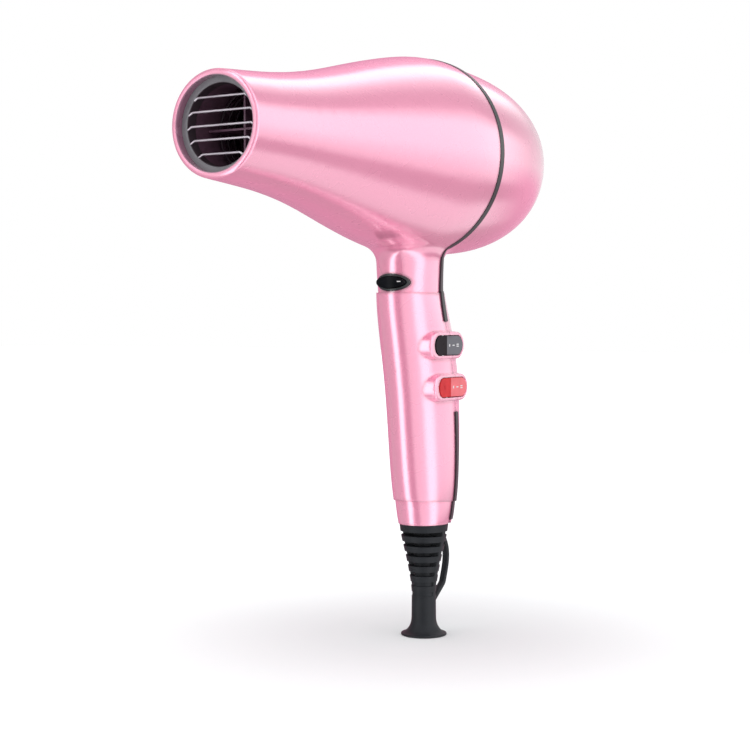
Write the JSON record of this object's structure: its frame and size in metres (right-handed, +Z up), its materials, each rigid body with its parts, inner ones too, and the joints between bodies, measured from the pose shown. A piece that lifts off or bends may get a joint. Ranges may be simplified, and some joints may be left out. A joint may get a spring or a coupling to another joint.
{
  "type": "hair dryer",
  "caption": "Handheld AC-motor hair dryer with a tapered round barrel, oval handle, two rocker switches, cold-shot button, ribbed cord guard and hanging loop.",
  "frame": {"origin": "centre of the cord guard's round foot, on the plane of its end face", "axes": "+Z up along the cord guard and handle, -Y the way the air leaves, +X the side with the rocker switches"},
  "size_m": [0.0904, 0.2171, 0.2665],
  "materials": {
    "pink_shell": "glossy pearl paint",
    "black_trim": "satin",
    "black_gloss": "gloss",
    "red_gloss": "gloss",
    "black_rubber": "matte",
    "ring_grey": "satin",
    "steel_wire": "bright drawn wire",
    "steel_parts": "zinc plated",
    "filter_steel": "woven mesh",
    "brass_parts": "plain",
    "copper": "enamelled copper",
    "nichrome": "oxidised",
    "lamination": "laminated steel",
    "mica": "pressed mica",
    "carbon": "pressed carbon",
    "dark_plastic": "satin",
    "fan_plastic": "glass-filled nylon",
    "white_plastic": "satin",
    "board_green": "solder resist",
    "capacitor_film": "moulded",
    "lead_insulation": "silicone sleeve"
  },
  "bodies": {
    "dryer": {"front_shell": "pink_shell", "rear_shell": "pink_shell", "front_grip": "pink_shell", "rear_grip": "pink_shell", "seam_strip": "black_trim", "handle_strips": "black_trim", "outlet_ring": "ring_grey", "outlet_wires": "steel_wire", "heater_sleeve": "mica", "mica_boards": "mica", "heating_coils": "nichrome", "thermostat": "brass_parts", "thermal_fuse": "steel_parts", "motor_duct": "dark_plastic", "stator": "lamination", "field_coils": "copper", "motor_front_bracket": "steel_parts", "motor_rear_bracket": "steel_parts", "motor_bearings": "brass_parts", "motor_screws": "steel_parts", "carbon_brushes": "carbon", "brush_holders": "brass_parts", "inlet_guard": "dark_plastic", "rocker_pins": "steel_parts", "speed_switch": "dark_plastic", "heat_switch": "dark_plastic", "button_bezel": "black_trim", "button_spring": "steel_parts", "cold_shot_switch": "dark_plastic", "circuit_board": "board_green", "capacitor": "capacitor_film", "diodes": "black_trim", "choke": "copper", "terminal_block": "white_plastic", "cable_clamp": "dark_plastic", "clamp_screws": "steel_parts", "handle_screws": "steel_parts", "mains_leads": "lead_insulation", "motor_leads": "lead_insulation", "cord_guard": "black_rubber", "hanging_loop": "black_rubber"},
    "rotor": {"motor_shaft": "steel_parts", "armature": "lamination", "armature_windings": "copper", "commutator": "copper", "fan": "fan_plastic"},
    "filter": {"filter_cover": "pink_shell", "inlet_grille": "pink_shell", "filter_mesh": "filter_steel"},
    "speed_switch_rocker": {"speed_rocker": "black_gloss"},
    "heat_switch_rocker": {"heat_rocker": "red_gloss"},
    "cold_button": {"cold_shot_button": "black_gloss"}
  },
  "joints": [
    {"name": "rotor_spin", "type": "hinge", "parent": "dryer", "child": "rotor", "pos_m": [0, 0.02, 0.2213], "axis": [0, 1, 0], "continuous": true},
    {"name": "speed_rocker_tilt", "type": "hinge", "parent": "dryer", "child": "speed_switch_rocker", "pos_m": [0.0126, -0.0052, 0.1355], "axis": [0, 0, 1], "range_deg": [-6, 6]},
    {"name": "heat_rocker_tilt", "type": "hinge", "parent": "dryer", "child": "heat_switch_rocker", "pos_m": [0.0126, -0.0015, 0.1162], "axis": [0, 0, 1], "range_deg": [-6, 6]},
    {"name": "cold_shot_press", "type": "slide", "parent": "dryer", "child": "cold_button", "axis": [0, 1, 0], "range_m": [0, 0.0015], "stiffness_N_per_m": 300},
    {"name": "filter_cover_pull", "type": "slide", "parent": "dryer", "child": "filter", "axis": [0, 1, 0], "range_m": [0, 0.03]}
  ]
}
